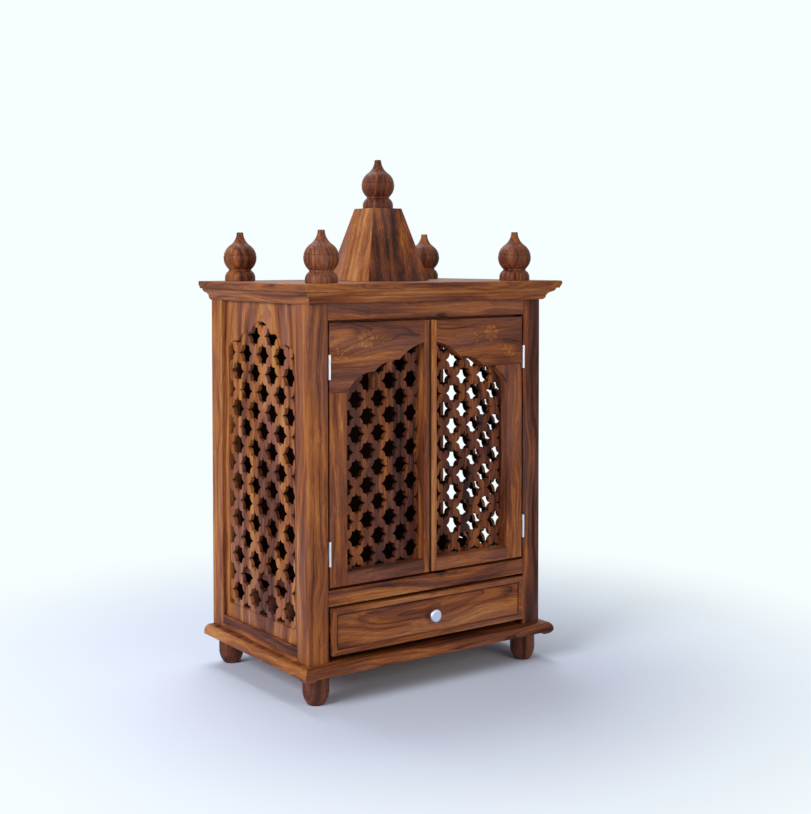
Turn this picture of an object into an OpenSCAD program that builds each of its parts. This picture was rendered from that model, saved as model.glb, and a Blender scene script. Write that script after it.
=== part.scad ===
// Wooden home temple cabinet: pierced doors and sides, one drawer, a stepped tower and turned finials.
// Millimetres, +Z up, the front faces -Y, the origin is on the floor under the middle of the cornice.

/* [Cornice and body] */
// Width over the cornice
cornice_w = 600; // [520:1:700]
// Depth over the cornice
cornice_d = 400; // [360:1:480]
// Height from the underside of the base board to the top of the cornice board
body_h = 704; // [640:1:800]
// Overhang of the cornice past the side of the posts
cornice_side_overhang = 28.7; // [26:0.1:34]
// Overhang of the cornice past the front of the posts
cornice_front_overhang = 35.8; // [30:0.1:42]
// Thickness of the top board
plate_t = 14.5; // [14:0.5:20]
// Radius of the upper edge of the top board
plate_top_r = 3; // [1:0.5:3.5]
// Radius of the lower edge of the top board
plate_under_r = 10; // [6:0.5:10]
// Distance from the edge of the top board in to the moulding
moulding_inset = 8.5; // [5:0.5:9]
// Height of the moulding under the top board
moulding_h = 23; // [21:0.5:32]
// Height of the plain fillet at the top of the moulding
moulding_fillet_h = 1.5; // [1:0.5:3]
// Width of the ogee below the fillet
moulding_ogee_w = 13.5; // [9:0.5:14]
// Height of the ogee below the fillet
moulding_ogee_h = 13; // [9:0.5:13.5]
// Height of the groove between the ogee and the quarter round
moulding_quirk_h = 1; // [0.6:0.1:1.6]
// Depth of the groove between the ogee and the quarter round
moulding_quirk_in = 1.2; // [0.8:0.1:2]
// Width of the flat at the foot of the moulding
moulding_toe_w = 1.2; // [0.5:0.1:3]

/* [Base board and feet] */
// Thickness of the base board
base_t = 18.5; // [16:0.5:26]
// How far the base board's side stands back from the cornice's edge
base_side_setback = 8.2; // [4:0.1:18]
// How far the base board's front stands back from the cornice's edge
base_front_setback = 13.5; // [6:0.1:24]
// Radius of the upper nose of the base board
base_nose_r = 13; // [6:0.5:13.5]
// Radius of the lower arris of the base board
base_arris_r = 1.5; // [1:0.5:2]
// Height of a foot
foot_h = 57.5; // [40:0.5:90]
// Greatest diameter of a foot
foot_d = 50; // [40:0.5:52]
// Diameter of a foot where it stands on the floor
foot_sole_d = 28.5; // [24:0.5:38]
// Radius of the shoulder at the top of a foot
foot_shoulder_r = 7; // [3:0.5:9]
// Depth of the turned groove round a foot
foot_groove = 1.2; // [0.6:0.1:2]
// Height of the groove above the floor
foot_groove_z = 27; // [18:0.5:34]
// Distance from a foot's axis to the side edge of the base board
foot_inset_side = 46.8; // [30:0.1:60]
// Distance from a front foot's axis to the front edge of the base board
foot_inset_front = 42; // [30:0.1:60]
// Distance from a back foot's axis to the back edge of the base board
foot_inset_back = 27; // [26:0.1:60]

/* [Carcass] */
// Side of a square post
post_w = 42; // [34:0.5:52]
// Thickness of the front rails
rail_t = 22; // [18:0.5:28]
// Height of the rail between the drawer and the doors
middle_rail_h = 29; // [22:0.5:40]
// Height of the rail above the doors, up to the top board
top_rail_h = 52; // [45:0.5:70]
// How far the rebate's lip on these rails laps past the edge of a door, behind it
door_lip_h = 11; // [8:0.5:15]
// Thickness of that lip
door_lip_t = 10; // [8:0.5:16]
// Height of the web that carries the lip
door_lip_web = 12; // [8:0.5:16]
// Height of the rails under the side panels
side_rail_h = 25.5; // [18:0.5:40]
// Thickness of the rails under the side panels
side_rail_t = 22; // [16:0.5:30]
// Depth from a post's outer face to the face of a side panel
side_recess = 7; // [4:0.5:12]
// Thickness of a side panel
side_panel_t = 9; // [7:0.5:16]
// Depth from the back of the posts to the back panel
back_recess = 7; // [3:0.5:12]
// Thickness of the back panel
back_panel_t = 9; // [6:0.5:14]
// Thickness of the floor behind the doors
chamber_floor_t = 12; // [9:0.5:18]

/* [Side lattice] */
// Width of the solid border beside the side lattice
side_border_w = 16; // [10:0.5:30]
// Height of the solid border under the side lattice
side_border_h = 27; // [14:0.5:50]
// Height from the top board down to the crown of the side arch
side_crown_drop = 59; // [48:0.5:90]
// Height from the spring of the side arch to its crown
side_arch_rise = 56; // [40:0.5:80]
// How deep the lattice field is sunk into the side panel
side_field_sink = 2; // [1:0.5:4]
// Width of the ledge between the edge of the field and the holes that it cuts short
side_field_ledge = 1; // [0.5:0.1:3]
// Width of one mesh of the side lattice
side_mesh_w = 64.2; // [50:0.1:80]
// Height of one mesh of the side lattice
side_mesh_h = 71.8; // [56:0.1:90]
// Width of the wood left at a crossing of the side lattice
side_neck_w = 13; // [9:0.5:20]
// Height of the wood left at a crossing of the side lattice
side_neck_h = 24; // [18:0.5:28]
// Width of the wood where two petals of the side lattice meet
side_waist_w = 6.5; // [5:0.5:10]
// How far a petal's edge bulges on the side lattice
side_petal_bulge = 3.8; // [1:0.1:4.2]
// How far the side lattice is shifted towards the front
side_lattice_shift = -4.5; // [-16:0.5:16]
// How far a row of holes in the side lattice is above the lower border
side_lattice_lift = 28.6; // [-30:0.1:40]

/* [Doors] */
// Thickness of a door's frame
door_t = 20; // [16:0.5:26]
// Thickness of the lattice board behind a door's frame
door_lattice_t = 8; // [6:0.5:12]
// How far the lattice board laps onto the door's frame
door_lattice_lap = 8; // [5:0.5:11]
// Width of the stile on the hinge side
hinge_stile_w = 37.4; // [30:0.1:60]
// Width of the stile where the doors meet
meeting_stile_w = 12; // [11.5:0.1:30]
// How far that stile's edge leans back from the gap, so that it clears the other door as it swings
meeting_stile_lean = 1.2; // [0:0.1:3]
// Height of a door's bottom rail
door_bottom_rail_h = 24.5; // [16:0.5:50]
// Height of the left door's top rail at the hinge side
left_top_rail_h = 126; // [112:0.5:150]
// Height of the right door's top rail at the hinge side
right_top_rail_h = 93; // [93:0.5:150]
// How far the head of a hinge stile reaches in towards the arch, from the stile's inner edge
stile_head_w = 30; // [28:0.5:40]
// Height from the top of a door down to the crown of its arch
door_crown_drop = 42.5; // [20:0.5:60]
// Height from the spring of a door's arch to its crown
door_arch_rise = 89.5; // [60:0.5:100]
// Width of one mesh of the door lattice
door_mesh_w = 50; // [40:0.1:60]
// Height of one mesh of the door lattice
door_mesh_h = 64; // [50:0.1:78]
// Width of the wood left at a crossing of the door lattice
door_neck_w = 10.6; // [8:0.1:16]
// Height of the wood left at a crossing of the door lattice
door_neck_h = 21; // [15:0.1:26]
// Width of the wood where two petals of the door lattice meet
door_waist_w = 6; // [4:0.1:9]
// How far a petal's edge bulges on the door lattice
door_petal_bulge = 3.1; // [1:0.1:3.4]
// How far the left door's lattice is shifted to the right
left_lattice_shift = -4.2; // [-25:0.1:25]
// How far the right door's lattice is shifted to the right
right_lattice_shift = 19.5; // [-25:0.1:25]
// How far a row of holes in the door lattice is above the opening's lower edge
door_lattice_lift = 22; // [-30:0.1:40]

/* [Hinges] */
// Diameter of a hinge's barrel
barrel_d = 5; // [4:0.1:7]
// Diameter of a hinge's pin
pin_d = 2; // [1.5:0.1:3]
// Length of a hinge
hinge_l = 45; // [30:0.5:60]
// Thickness of a hinge's leaf
leaf_t = 1.2; // [0.8:0.1:1.6]
// Width of a hinge's leaf
leaf_w = 16; // [10:0.5:18]
// Distance from a door's top to the middle of its upper hinge
hinge_drop = 79; // [40:0.5:110]
// Distance from a door's bottom to the middle of its lower hinge
hinge_lift = 62; // [30:0.5:110]

/* [Drawer] */
// Height of the drawer's front
drawer_front_h = 84.5; // [70:0.5:120]
// Space between the base board and the drawer's front
drawer_lift = 12.5; // [9:0.5:20]
// Thickness of the drawer's front board
drawer_front_t = 16; // [12:0.5:20]
// How far the drawer's front board stands out from the posts
drawer_proud = 3.7; // [0:0.1:6]
// Width of the raised border on the drawer's front
drawer_border_w = 9.5; // [6:0.5:16]
// Thickness of the raised border on the drawer's front
drawer_border_t = 3; // [2:0.1:5]
// Thickness of the drawer's sides and back
drawer_side_t = 10; // [8:0.5:14]
// Thickness of the drawer's bottom
drawer_bottom_t = 5; // [3:0.5:8]
// Height of the drawer's sides
drawer_side_h = 68; // [50:0.5:76]
// Width of a drawer runner
runner_w = 14; // [11:0.5:20]
// Diameter of the knob
knob_d = 25; // [18:0.5:34]
// Length of the knob
knob_l = 15.5; // [12:0.5:26]
// Diameter of the knob's stem
knob_stem_d = 11; // [8:0.5:14]

/* [Tower and finials] */
// Height of the tower
tower_h = 142.5; // [110:0.5:190]
// Side of the tower where it stands on the top board
tower_foot_w = 145; // [120:0.5:170]
// Side of the tower at its top
tower_top_w = 67.5; // [64:0.5:90]
// Thickness of the tower's boards
tower_board_t = 10; // [7:0.5:14]
// Distance from the front edge of the cornice to the tower's axis
tower_y = 210; // [190:0.5:230]
// Diameter of a finial's collar
collar_d = 60; // [56:0.5:63]
// Height of the upright part of a finial's collar
collar_rim_h = 6; // [3:0.5:9]
// Height of a finial's collar
collar_h = 23; // [19:0.5:26]
// Diameter of a finial's waist
waist_d = 44.5; // [38:0.5:48]
// Diameter of a finial's bulb
bulb_d = 65; // [60:0.5:68]
// Radius of a finial's bulb seen from the side
bulb_r = 30; // [28:0.5:32]
// Diameter of a finial's tip
tip_d = 13; // [10:0.5:16]
// Depth of the turned groove round a finial
finial_groove = 1; // [0.5:0.1:1.5]
// Height of that groove above the widest part of the bulb
finial_groove_rise = 5; // [2:0.5:10]
// Distance from a corner finial's axis to the side edge of the cornice
finial_inset_side = 73; // [50:0.5:90]
// Distance from a front finial's axis to the front edge of the cornice
finial_inset_front = 61; // [45:0.5:80]
// Distance from a back finial's axis to the back edge of the cornice
finial_inset_back = 38; // [36:0.5:70]

/* [Clearances] */
// Gap above and below a door
door_gap = 5; // [4:0.1:7]
// Gap between a door's frame and the lip behind it
door_lip_gap = 5; // [4:0.1:7]
// Gap between the doors where they meet
meet_gap = 5.2; // [4:0.1:7]
// Gap between a door and its post, at the hinges
hinge_gap = 3.4; // [3.2:0.1:5]
// Gap between the drawer and what is beside and above it
drawer_gap = 5; // [4:0.1:8]
// Gap between the drawer and the back panel
drawer_back_gap = 35.9; // [10:0.1:80]
// Gap between the drawer's sides and its runners
runner_gap = 0.3; // [0.2:0.1:0.6]
// Gap between two segments of a hinge's barrel
barrel_gap = 0.4; // [0.2:0.1:0.8]
// Gap round a hinge's pin
pin_gap = 0.2; // [0.1:0.05:0.3]

/* [Hidden] */

// Finishes
BODY = "#8a5531";
RAIL = "#7a4527";
LATTICE = "#9b6a42";
DARK = "#5c3320";
STEEL = "#c9ccd0";
GLAZE = "#d5deea";

$fn = 72;
eps = 0.01;
reach = 2000;

// Levels
base_top = foot_h + base_t;
cornice_top = foot_h + body_h;
plate_under = cornice_top - plate_t;
moulding_under = plate_under - moulding_h;
drawer_z = base_top + drawer_lift;
drawer_top = drawer_z + drawer_front_h;
middle_rail_z = drawer_top + drawer_gap;
chamber_z = middle_rail_z + middle_rail_h;
door_z = chamber_z + door_gap;
top_rail_z = plate_under - top_rail_h;
door_top = top_rail_z - door_gap;
door_h = door_top - door_z;
side_panel_z = base_top + side_rail_h;
side_panel_h = plate_under - side_panel_z;

// Plan
half_w = cornice_w / 2;
half_d = cornice_d / 2;
post_x = half_w - cornice_side_overhang;
post_y = -half_d + cornice_front_overhang;
bay_x = post_x - post_w;
front_bay_y = post_y + post_w;
back_bay_y = half_d - post_w;
side_bay_l = back_bay_y - front_bay_y;
side_mid_y = (back_bay_y + front_bay_y) / 2;
panel_x = post_x - side_recess;
back_y = half_d - back_recess - back_panel_t;
rail_back_y = post_y + rail_t;

// Doors: an opening runs from the inner edge of the meeting stile to that of the hinge stile
door_edge = bay_x - hinge_gap;
meet_edge = meet_gap / 2;
open_in = meet_edge + meeting_stile_w;
open_out = door_edge - hinge_stile_w;
open_w = open_out - open_in;
open_z = door_z + door_bottom_rail_h;
door_crown = door_top - door_crown_drop;
door_spring = door_crown - door_arch_rise;
lattice_y = post_y + door_t;
lip_y = lattice_y + door_lip_gap;
lip_back_y = lip_y + door_lip_t;

// Hinges: the pin stands clear of the front of the posts by the barrel's radius
pin_x = bay_x - hinge_gap / 2;
pin_y = post_y - barrel_d / 2 - 0.1;
hinge_mids = [door_z + hinge_lift, door_top - hinge_drop];
barrel_part = hinge_l / 3;

// Drawer
drawer_half = bay_x - drawer_gap;
drawer_face_y = post_y - drawer_proud;
drawer_back_y = drawer_face_y + drawer_front_t;
drawer_side_l = back_y - drawer_back_gap - drawer_back_y;
box_z = drawer_z + (drawer_front_h - drawer_side_h) / 4;
runner_h = box_z - runner_gap - base_top;
bottom_z = box_z + drawer_bottom_t;

// Side lattice
side_open_w = side_bay_l - 2 * side_border_w;
side_open_z = side_panel_z + side_border_h;
side_crown = plate_under - side_crown_drop;
side_spring = side_crown - side_arch_rise;

// Finial profile: the bulb's arc meets the hollow arc of the neck at this angle
neck_angle = 54.6;
bulb_z = collar_h + sqrt(pow(bulb_r, 2) - pow(bulb_r - (bulb_d - waist_d) / 2, 2));
bulb_in = bulb_d / 2 - bulb_r;
neck_r = (bulb_in + bulb_r * cos(neck_angle) - tip_d / 2) / (1 - cos(neck_angle));
finial_h = bulb_z + (bulb_r + neck_r) * sin(neck_angle);

// Points on a shallow bow from p towards q, standing s to the left of the chord at its middle
function bow(p, q, s, n) = [for (i = [0:n - 1])
    let (t = i / n, d = q - p) p + d * t + 4 * s * t * (1 - t) * [-d[1], d[0]] / norm(d)];

// Centre of the circle through p and q whose arc rises s above the chord, on its left
function chord_centre(p, q, s) = let (
        d = norm(q - p) / 2,
        r = (d * d + s * s) / (2 * s),
        u = (q - p) / (2 * d))
    (p + q) / 2 - [-u[1], u[0]] * (r - s);

// One lobe of an arch: all that lies under the arc over the chord p to q, down to the height floor_z,
// less a ledge that narrows it all round
module lobe(p, q, s, floor_z, ledge = 0) {
    c = chord_centre(p, q, s);
    low_z = floor_z + ledge;
    base_z = max(c[1], low_z);
    x0 = min(p[0], q[0]);
    wide = abs(q[0] - p[0]);
    intersection() {
        translate(c)
            circle(norm(p - c) - ledge);
        translate([x0, base_z])
            square([wide, max(p[1], q[1]) + 2 * s - base_z]);
    }
    if (base_z > low_z)
        translate([x0, low_z])
            square([wide, (base_z + min(p[1], q[1])) / 2 - low_z]);
}

// Outline of half a door's opening under its cusped arch, with the meeting stile's edge at x = 0
door_cusps = [[0, 1], [0.325, 0.67], [0.655, 0.447], [1, 0]];
door_rises = [0.08, 0.107, 0.17];
module door_opening() {
    points = [for (c = door_cusps) [c[0] * open_w, door_spring + c[1] * door_arch_rise]];
    for (i = [0:2])
        lobe(points[i], points[i + 1], door_rises[i] * norm(points[i + 1] - points[i]), open_z);
}

// Outline of a side panel's opening under its cusped arch, with its axis at x = 0
side_cusps = [[0.302, 0.602], [0.667, 0.283], [1, 0]];
side_rises = [0.155, 0.13];
module side_opening(ledge = 0) {
    points = [for (c = side_cusps) [c[0] * side_open_w / 2, side_spring + c[1] * side_arch_rise]];
    crown_rise = side_crown - points[0][1];
    half_open = side_open_w / 2 - ledge;
    intersection() {
        union() {
            lobe([-points[0][0], points[0][1]], points[0], crown_rise, side_open_z, ledge);
            for (m = [0, 1], i = [0, 1])
                mirror([m, 0])
                    lobe(points[i], points[i + 1], side_rises[i] * norm(points[i + 1] - points[i]), side_open_z,
                        ledge);
        }
        translate([-half_open, side_open_z])
            square([2 * half_open, plate_under - side_open_z]);
    }
}

// Outline of one hole of a lattice: four tips and four corners joined by edges that bow into the hole
function hole_points(w, h, neck, neck_z, waist, bulge) = let (
        e = (w - neck) / 2,
        n = (h - neck_z) / 2,
        k = [w, h] / 4 - waist / 2 * [h, w] / norm([h, w]),
        ring = [[e, 0], k, [0, n], [-k[0], k[1]], [-e, 0], -k, [0, -n], [k[0], -k[1]]])
    [for (i = [0:7]) each bow(ring[i], ring[(i + 1) % 8], bulge, 4)];

// The holes of a lattice, every second place of a grid of half meshes, over nx by nz half meshes
module lattice_holes(points, w, h, nx, nz) {
    for (i = [-nx:nx], j = [-1:nz])
        if ((i + j) % 2 != 0)
            translate([i * w / 2, j * h / 2])
                polygon(points);
}

// Solids along X or Y from a section drawn in the plane across them
module along_x(x0, x1) {
    translate([x0, 0, 0])
        rotate([90, 0, 90])
            linear_extrude(x1 - x0)
                children();
}

module along_y(y0, y1) {
    translate([0, y1, 0])
        rotate([90, 0, 0])
            linear_extrude(y1 - y0)
                children();
}

// A box from its lower and upper corners
module block(a, b) {
    translate(a)
        cube(b - a);
}

// Section of a board's edge: square end at the far side, rounded above and below at x = 0
module nosing(l, t, r_top, r_low) {
    translate([r_top, 0])
        square([l - r_top, t]);
    translate([r_low, 0])
        square([r_top, t - r_top]);
    translate([0, r_low])
        square([r_top, t - r_top - r_low]);
    translate([r_top, t - r_top])
        circle(r_top);
    intersection() {
        translate([r_low, r_low])
            circle(r_low);
        square(r_low);
    }
}

// A board with rounded front and side edges and a square back edge
module nosed_board(w, y0, y1, t, r_top, r_low) {
    intersection() {
        along_x(-w / 2, w / 2)
            translate([y0, 0])
                nosing(y1 - y0, t, r_top, r_low);
        along_y(y0, y1)
            for (m = [0, 1])
                mirror([m, 0])
                    translate([-w / 2, 0])
                        nosing(w / 2 + eps, t, r_top, r_low);
    }
}

module base_board() {
    color(BODY)
        translate([0, 0, foot_h])
            nosed_board(cornice_w - 2 * base_side_setback, -half_d + base_front_setback, half_d, base_t,
                base_nose_r, base_arris_r);
}

module foot() {
    bowl_in = (foot_d - foot_sole_d) / 2;
    bowl_r = (pow(bowl_in, 2) + pow(foot_groove_z, 2)) / (2 * bowl_in);
    rotate_extrude()
        difference() {
            union() {
                intersection() {
                    translate([foot_d / 2 - bowl_r, foot_groove_z])
                        circle(bowl_r, $fn = 144);
                    square([foot_d / 2, foot_groove_z]);
                }
                translate([0, foot_groove_z - eps])
                    square([foot_d / 2, foot_h - foot_shoulder_r - foot_groove_z]);
                translate([0, foot_groove_z])
                    square([foot_d / 2 - foot_shoulder_r, foot_h - foot_groove_z]);
                translate([foot_d / 2 - foot_shoulder_r, foot_h - foot_shoulder_r])
                    circle(foot_shoulder_r);
            }
            translate([foot_d / 2, foot_groove_z])
                circle(foot_groove);
        }
}

// side is -1 for left and 1 for right; back is 0 for front and 1 for back
module placed_foot(side, back) {
    x = half_w - base_side_setback - foot_inset_side;
    y = back == 1 ? half_d - foot_inset_back : -half_d + base_front_setback + foot_inset_front;
    color(BODY)
        translate([side * x, y, 0])
            foot();
}

module post(side, back) {
    y0 = back == 1 ? back_bay_y : post_y;
    x0 = side > 0 ? bay_x : -post_x;
    color(BODY)
        block([x0, y0, base_top], [x0 + post_w, y0 + post_w, plate_under]);
}

// The rails above and below the doors are rebated: a lip stands behind the doors' edges
module front_top_rail() {
    color(RAIL)
        union() {
            block([-bay_x, post_y, top_rail_z], [bay_x, rail_back_y, plate_under]);
            block([-bay_x, post_y, plate_under - door_lip_web], [bay_x, lip_back_y, plate_under]);
            block([-bay_x, lip_y, door_top - door_lip_h], [bay_x, lip_back_y, plate_under]);
        }
}

module front_middle_rail() {
    color(RAIL)
        union() {
            block([-bay_x, post_y, middle_rail_z], [bay_x, rail_back_y, chamber_z]);
            block([-bay_x, post_y, chamber_z - door_lip_web], [bay_x, lip_back_y, chamber_z]);
            block([-bay_x, lip_y, chamber_z - door_lip_web], [bay_x, lip_back_y, door_z + door_lip_h - door_gap]);
        }
}

module side_bottom_rail(side) {
    x0 = side > 0 ? post_x - side_rail_t : -post_x;
    color(RAIL)
        block([x0, front_bay_y, base_top], [x0 + side_rail_t, back_bay_y, side_panel_z]);
}

// A pierced board: the arched field is sunk into the outer face, the lattice is cut through it
module side_jali_panel(side) {
    x_in = panel_x - side_panel_t;
    holes = hole_points(side_mesh_w, side_mesh_h, side_neck_w, side_neck_h, side_waist_w, side_petal_bulge);
    nx = ceil(side_open_w / side_mesh_w) + 1;
    nz = ceil((side_crown - side_open_z) / side_mesh_h * 2) + 1;
    color(LATTICE)
        mirror([side > 0 ? 0 : 1, 0, 0])
            difference() {
                block([x_in, front_bay_y, side_panel_z], [panel_x, back_bay_y, plate_under]);
                along_x(panel_x - side_field_sink, panel_x + eps)
                    translate([side_mid_y, 0])
                        side_opening();
                along_x(x_in - eps, panel_x)
                    intersection() {
                        translate([side_mid_y, 0])
                            side_opening(side_field_ledge);
                        translate([side_mid_y + side_lattice_shift, side_open_z + side_lattice_lift])
                            lattice_holes(holes, side_mesh_w, side_mesh_h, nx, nz);
                    }
            }
}

module back_panel() {
    color(BODY)
        block([-bay_x, back_y, base_top], [bay_x, back_y + back_panel_t, plate_under]);
}

module chamber_floor() {
    z0 = chamber_z - chamber_floor_t;
    x1 = panel_x - side_panel_t;
    color(BODY)
        union() {
            block([-bay_x, lip_back_y, z0], [bay_x, back_y, chamber_z]);
            block([-x1, front_bay_y, z0], [x1, back_bay_y, chamber_z]);
        }
}

module drawer_runners() {
    color(BODY)
        for (m = [0, 1])
            mirror([m, 0, 0])
                block([bay_x - runner_w, rail_back_y, base_top], [bay_x, back_y, base_top + runner_h]);
}

module top_board() {
    color(BODY)
        translate([0, 0, plate_under])
            nosed_board(cornice_w, -half_d, half_d, plate_t, plate_top_r, plate_under_r);
}

// Section of the cornice moulding, from the top board's edge at x = 0 in to the carcass at x = w
module moulding_section(w) {
    ogee_top = [moulding_inset, -moulding_fillet_h];
    ogee_foot = ogee_top + [moulding_ogee_w, -moulding_ogee_h];
    ogee_mid = (ogee_top + ogee_foot) / 2;
    quirk = ogee_foot + [moulding_quirk_in, 0];
    round_top = ogee_foot + [moulding_quirk_in / 2, -moulding_quirk_h];
    toe = [cornice_side_overhang - moulding_toe_w, -moulding_h];
    polygon(concat([[w, 0], [moulding_inset, 0]], bow(ogee_top, ogee_mid, -moulding_toe_w, 4),
        bow(ogee_mid, ogee_foot, moulding_toe_w, 4), [ogee_foot, quirk, quirk - [0, moulding_quirk_h]],
        bow(round_top, toe, -moulding_toe_w, 5), [toe, [w, -moulding_h]]));
}

module cornice_front() {
    inner_y = -half_d + cornice_side_overhang;
    color(RAIL)
        intersection() {
            along_x(-half_w, half_w)
                translate([-half_d, plate_under])
                    moulding_section(cornice_front_overhang);
            translate([0, 0, moulding_under - eps])
                linear_extrude(moulding_h + 2 * eps)
                    polygon([[-half_w, -half_d], [half_w, -half_d], [post_x, inner_y], [post_x, post_y],
                        [-post_x, post_y], [-post_x, inner_y]]);
        }
}

module cornice_side(side) {
    inner_y = -half_d + cornice_side_overhang;
    color(RAIL)
        mirror([side > 0 ? 1 : 0, 0, 0])
            intersection() {
                along_y(-half_d, half_d)
                    translate([-half_w, plate_under])
                        moulding_section(cornice_side_overhang);
                translate([0, 0, moulding_under - eps])
                    linear_extrude(moulding_h + 2 * eps)
                        polygon([[-half_w, -half_d], [-post_x, inner_y], [-post_x, half_d], [-half_w, half_d]]);
            }
}

// A square frustum on z = 0, from side w0 to side w1
module frustum(w0, w1, h) {
    side_points = [[-w0 / 2, 0], [w0 / 2, 0], [w1 / 2, h], [-w1 / 2, h]];
    intersection() {
        along_x(-w0 / 2, w0 / 2)
            polygon(side_points);
        along_y(-w0 / 2, w0 / 2)
            polygon(side_points);
    }
}

module tower_inside() {
    frustum(tower_foot_w - 2 * tower_board_t, tower_top_w - 2 * tower_board_t, tower_h);
}

module tower() {
    color(BODY)
        translate([0, tower_y - half_d, cornice_top])
            difference() {
                frustum(tower_foot_w, tower_top_w, tower_h);
                tower_inside();
            }
}

module tower_cap() {
    color(BODY)
        translate([0, tower_y - half_d, cornice_top])
            intersection() {
                tower_inside();
                translate([-tower_foot_w / 2, -tower_foot_w / 2, tower_h - tower_board_t])
                    cube([tower_foot_w, tower_foot_w, tower_board_t]);
            }
}

// A turned finial: a collar with a rounded top, a bulb, and a hollow neck up to a flat tip
module finial() {
    collar_r = collar_h - collar_rim_h;
    neck_z = bulb_z + bulb_r * sin(neck_angle);
    rotate_extrude()
        difference() {
            union() {
                square([collar_d / 2, collar_rim_h]);
                square([waist_d / 2, bulb_z]);
                intersection() {
                    translate([collar_d / 2 - collar_r, collar_rim_h])
                        circle(collar_r);
                    square([collar_d, collar_h]);
                }
                intersection() {
                    translate([bulb_in, bulb_z])
                        circle(bulb_r, $fn = 144);
                    square([bulb_d, finial_h]);
                }
                difference() {
                    square([bulb_in + bulb_r * cos(neck_angle), finial_h]);
                    translate([bulb_in, bulb_z] + (bulb_r + neck_r) * [cos(neck_angle), sin(neck_angle)])
                        circle(neck_r, $fn = 144);
                    square([bulb_d, bulb_z]);
                }
            }
            translate([bulb_in + sqrt(pow(bulb_r, 2) - pow(finial_groove_rise, 2)), bulb_z + finial_groove_rise])
                circle(finial_groove);
        }
}

module centre_finial() {
    color(BODY)
        translate([0, tower_y - half_d, cornice_top + tower_h])
            finial();
}

module corner_finial(side, back) {
    y = back == 1 ? half_d - finial_inset_back : -half_d + finial_inset_front;
    color(BODY)
        translate([side * (half_w - finial_inset_side), y, cornice_top])
            finial();
}

// Doors are drawn for the right side and mirrored for the left
module for_side(side) {
    mirror([side > 0 ? 0 : 1, 0, 0])
        children();
}

// Underside of a door's top rail at the hinge side
function door_rail_z(side) = door_top - (side > 0 ? right_top_rail_h : left_top_rail_h);

// The hinge stile widens at its head, where the arch springs from it
module hinge_stile(side) {
    rail_z = door_rail_z(side);
    head_z = door_spring - stile_head_w;
    color(RAIL)
        for_side(side)
            along_y(post_y, lattice_y)
                difference() {
                    union() {
                        translate([open_out, door_z])
                            square([hinge_stile_w, rail_z - door_z]);
                        translate([open_out - stile_head_w, head_z])
                            square([hinge_stile_w + stile_head_w, rail_z - head_z]);
                    }
                    translate([open_in, 0])
                        door_opening();
                }
}

module meeting_stile(side) {
    color(LATTICE)
        for_side(side)
            translate([0, 0, door_z])
                linear_extrude(door_h)
                    polygon([[meet_edge, post_y], [open_in, post_y], [open_in, lattice_y],
                        [meet_edge + meeting_stile_lean, lattice_y]]);
}

module door_top_rail(side) {
    color(LATTICE)
        for_side(side)
            along_y(post_y, lattice_y)
                difference() {
                    translate([open_in, door_rail_z(side)])
                        square([door_edge - open_in, door_top - door_rail_z(side)]);
                    translate([open_in, 0])
                        door_opening();
                }
}

module door_bottom_rail(side) {
    color(RAIL)
        for_side(side)
            block([open_in, post_y, door_z], [open_out, lattice_y, open_z]);
}

module door_jali(side) {
    holes = hole_points(door_mesh_w, door_mesh_h, door_neck_w, door_neck_h, door_waist_w, door_petal_bulge);
    shift = side > 0 ? right_lattice_shift : left_lattice_shift;
    nx = ceil(open_w / door_mesh_w) + 1;
    nz = ceil((door_crown - open_z) / door_mesh_h * 2) + 1;
    color(DARK)
        along_y(lattice_y, lattice_y + door_lattice_t)
            difference() {
                mirror([side > 0 ? 0 : 1, 0])
                    translate([open_in - door_lattice_lap, open_z - door_lattice_lap])
                        square([open_w + 2 * door_lattice_lap, door_crown - open_z + 2 * door_lattice_lap]);
                intersection() {
                    mirror([side > 0 ? 0 : 1, 0])
                        translate([open_in, 0])
                            door_opening();
                    translate([side * (open_in + open_out) / 2 + shift, open_z + door_lattice_lift])
                        lattice_holes(holes, door_mesh_w, door_mesh_h, nx, nz);
                }
            }
}

// One leaf with its parts of the barrel; face is -1 for the door's leaf and 1 for the post's
module leaf_plate(face, z_mid) {
    x0 = face > 0 ? bay_x - leaf_t : door_edge;
    block([x0, post_y, z_mid - hinge_l / 2], [x0 + leaf_t, post_y + leaf_w, z_mid + hinge_l / 2]);
}

module knuckle(face, z0, z1) {
    x0 = face > 0 ? bay_x - leaf_t : door_edge;
    translate([pin_x, pin_y, z0])
        cylinder(h = z1 - z0, d = barrel_d);
    block([x0, pin_y, z0], [x0 + leaf_t, post_y + eps, z1]);
}

module cabinet_hinge_leaves() {
    color(STEEL)
        for (m = [0, 1], z_mid = hinge_mids)
            mirror([m, 0, 0])
                union() {
                    leaf_plate(1, z_mid);
                    for (s = [-1, 1])
                        translate([0, 0, s * barrel_part])
                            knuckle(1, z_mid - barrel_part / 2, z_mid + barrel_part / 2);
                    translate([pin_x, pin_y, z_mid - hinge_l / 2])
                        cylinder(h = hinge_l, d = pin_d);
                }
}

module door_hinge_leaves(side) {
    half_part = barrel_part / 2 - barrel_gap;
    color(STEEL)
        for_side(side)
            for (z_mid = hinge_mids)
                difference() {
                    union() {
                        leaf_plate(-1, z_mid);
                        knuckle(-1, z_mid - half_part, z_mid + half_part);
                    }
                    translate([pin_x, pin_y, z_mid - hinge_l])
                        cylinder(h = 2 * hinge_l, d = pin_d + 2 * pin_gap);
                }
}

module drawer_front() {
    color(RAIL)
        block([-drawer_half, drawer_face_y, drawer_z], [drawer_half, drawer_back_y, drawer_top]);
}

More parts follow.
